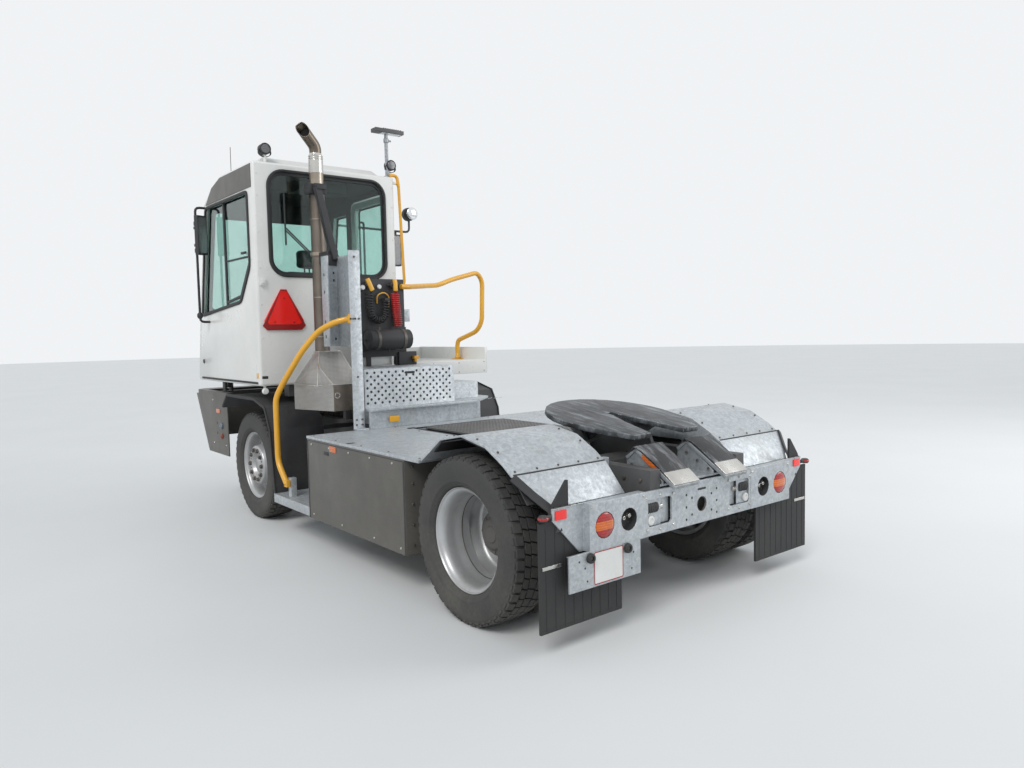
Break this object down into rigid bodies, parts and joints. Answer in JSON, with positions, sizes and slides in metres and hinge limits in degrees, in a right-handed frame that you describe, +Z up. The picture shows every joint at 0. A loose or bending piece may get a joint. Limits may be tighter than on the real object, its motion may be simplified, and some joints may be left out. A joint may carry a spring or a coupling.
{
  "type": "terminal tractor",
  "caption": "Terminal tractor with a narrow tilting cab, galvanised deck, a lifting boom with a tilting coupling plate, twin rear tyres, a steered front axle and a tall exhaust stack.",
  "frame": {"origin": "on the ground at the middle of the tractor's footprint", "axes": "+Y towards the rear, +X towards the vehicle's left, +Z up"},
  "size_m": [2.5616, 5.615, 3.516],
  "materials": {
    "galvanised": "galvanised sheet with a mottled blue-grey spangle",
    "cab_white": "off-white gloss paint",
    "panel_grey": "dark warm grey satin paint",
    "black_plastic": "black textured plastic and satin black steel",
    "rubber": "black rubber sheet",
    "tyre": "worn black tyre rubber",
    "wheel_silver": "silver wheel paint, dusty",
    "rail_yellow": "yellow gloss paint",
    "stainless": "heat-tinted brownish stainless steel",
    "glass": "tinted safety glass",
    "frame_grey": "dark grey chassis paint",
    "cast_iron": "plain dark casting",
    "plate_steel": "worn and greased steel plate",
    "triangle_red": "bright red reflective plate",
    "hose_red": "red coiled hose",
    "hose_black": "black coiled hose",
    "seat_cloth": "dark seat cloth",
    "chrome_rod": "polished rod"
  },
  "bodies": {
    "chassis": {"access_steps": "galvanised", "chassis_frame": "frame_grey", "coiled_hose_black": "hose_black", "coiled_hose_red": "hose_red", "deck": "galvanised", "engine": "cast_iron", "exhaust_guard": "stainless", "exhaust_stack": "stainless", "front_axle": "frame_grey", "front_bumper": "panel_grey", "front_wing_left": "black_plastic", "front_wing_right": "black_plastic", "guide_ramps": "galvanised", "handrail_left": "rail_yellow", "handrail_right": "rail_yellow", "hose_board": "black_plastic", "left_step": "galvanised", "mudflap_left": "rubber", "mudflap_right": "rubber", "mudguard_left": "galvanised", "mudguard_right": "galvanised", "rear_axle": "frame_grey", "rear_plate": "galvanised", "right_platform": "cab_white", "side_locker_left": "panel_grey", "side_locker_right": "panel_grey", "stack_column": "galvanised"},
    "cab": {"cab_shell": "cab_white", "rear_pane": "glass", "side_pane": "glass", "quarter_pane": "glass", "windscreen": "glass", "seat": "seat_cloth", "dash": "black_plastic", "warning_triangle": "triangle_red", "mirror_left": "black_plastic", "mirror_right": "black_plastic"},
    "cab_door": {"cab_door": "cab_white", "door_pane": "glass"},
    "steering_wheel": {"steering_wheel": "black_plastic"},
    "boom": {"boom": "frame_grey"},
    "coupling_plate": {"coupling_plate": "plate_steel"},
    "knuckle_left": {"knuckle_left": "frame_grey"},
    "front_wheel_left": {"front_tyre_left": "tyre", "front_rim_left": "wheel_silver"},
    "rear_wheels_left": {"rear_rim_left": "wheel_silver", "rear_tyre_outer_left": "tyre", "rear_tyre_inner_left": "tyre"},
    "lift_barrel_left": {"lift_barrel_left": "frame_grey"},
    "lift_rod_left": {"lift_rod_left": "chrome_rod"},
    "knuckle_right": {"knuckle_right": "frame_grey"},
    "front_wheel_right": {"front_tyre_right": "tyre", "front_rim_right": "wheel_silver"},
    "rear_wheels_right": {"rear_rim_right": "wheel_silver", "rear_tyre_outer_right": "tyre", "rear_tyre_inner_right": "tyre"},
    "lift_barrel_right": {"lift_barrel_right": "frame_grey"},
    "lift_rod_right": {"lift_rod_right": "chrome_rod"}
  },
  "joints": [
    {"name": "boom_lift", "type": "hinge", "parent": "chassis", "child": "boom", "pos_m": [-0.06577, 0.4225, 0.73], "axis": [1, 0, 0], "range_deg": [0, 18]},
    {"name": "coupling_tilt", "type": "hinge", "parent": "boom", "child": "coupling_plate", "pos_m": [-0.06577, 2.0225, 0.965], "axis": [1, 0, 0], "range_deg": [0, 20]},
    {"name": "cab_tilt", "type": "hinge", "parent": "chassis", "child": "cab", "pos_m": [-0.06577, -2.4275, 1.165], "axis": [1, 0, 0], "range_deg": [0, 55]},
    {"name": "door_swing", "type": "hinge", "parent": "cab", "child": "cab_door", "pos_m": [-0.20277, -1.6405, 1.38], "axis": [0, 0, 1], "range_deg": [0, 95]},
    {"name": "steering_turn", "type": "hinge", "parent": "cab", "child": "steering_wheel", "pos_m": [0.55423, -1.8075, 2.02], "axis": [0, 0.5736, 0.8192], "range_deg": [-420, 420]},
    {"name": "steer_left", "type": "hinge", "parent": "chassis", "child": "knuckle_left", "pos_m": [0.69423, -1.3575, 0.478], "axis": [0, 0, 1], "range_deg": [-35, 35]},
    {"name": "front_wheel_left_spin", "type": "hinge", "parent": "knuckle_left", "child": "front_wheel_left", "pos_m": [0.91923, -1.3575, 0.478], "axis": [1, 0, 0], "continuous": true},
    {"name": "rear_wheels_left_spin", "type": "hinge", "parent": "chassis", "child": "rear_wheels_left", "pos_m": [1.01173, 2.0225, 0.478], "axis": [1, 0, 0], "continuous": true},
    {"name": "lift_barrel_left_swing", "type": "hinge", "parent": "chassis", "child": "lift_barrel_left", "pos_m": [0.12423, 0.9225, 0.4], "axis": [1, 0, 0], "range_deg": [0, 9.3]},
    {"name": "lift_rod_left_slide", "type": "slide", "parent": "lift_barrel_left", "child": "lift_rod_left", "axis": [0, 0.2425, 0.9701], "range_m": [0, 0.173]},
    {"name": "steer_right", "type": "hinge", "parent": "chassis", "child": "knuckle_right", "pos_m": [-0.82577, -1.3575, 0.478], "axis": [0, 0, 1], "range_deg": [-35, 35]},
    {"name": "front_wheel_right_spin", "type": "hinge", "parent": "knuckle_right", "child": "front_wheel_right", "pos_m": [-1.05077, -1.3575, 0.478], "axis": [1, 0, 0], "continuous": true},
    {"name": "rear_wheels_right_spin", "type": "hinge", "parent": "chassis", "child": "rear_wheels_right", "pos_m": [-1.14327, 2.0225, 0.478], "axis": [1, 0, 0], "continuous": true},
    {"name": "lift_barrel_right_swing", "type": "hinge", "parent": "chassis", "child": "lift_barrel_right", "pos_m": [-0.25577, 0.9225, 0.4], "axis": [1, 0, 0], "range_deg": [0, 9.3]},
    {"name": "lift_rod_right_slide", "type": "slide", "parent": "lift_barrel_right", "child": "lift_rod_right", "axis": [0, 0.2425, 0.9701], "range_m": [0, 0.173]}
  ],
  "couplings": [
    {"joint": "steer_right", "follows": "steer_left", "ratio": 1},
    {"joint": "steering_turn", "follows": "steer_left", "ratio": 12},
    {"joint": "lift_barrel_left_swing", "follows": "boom_lift", "ratio": 0.51497},
    {"joint": "lift_rod_left_slide", "follows": "boom_lift", "m_per_rad": 0.54938},
    {"joint": "lift_barrel_right_swing", "follows": "boom_lift", "ratio": 0.51497},
    {"joint": "lift_rod_right_slide", "follows": "boom_lift", "m_per_rad": 0.54938}
  ]
}
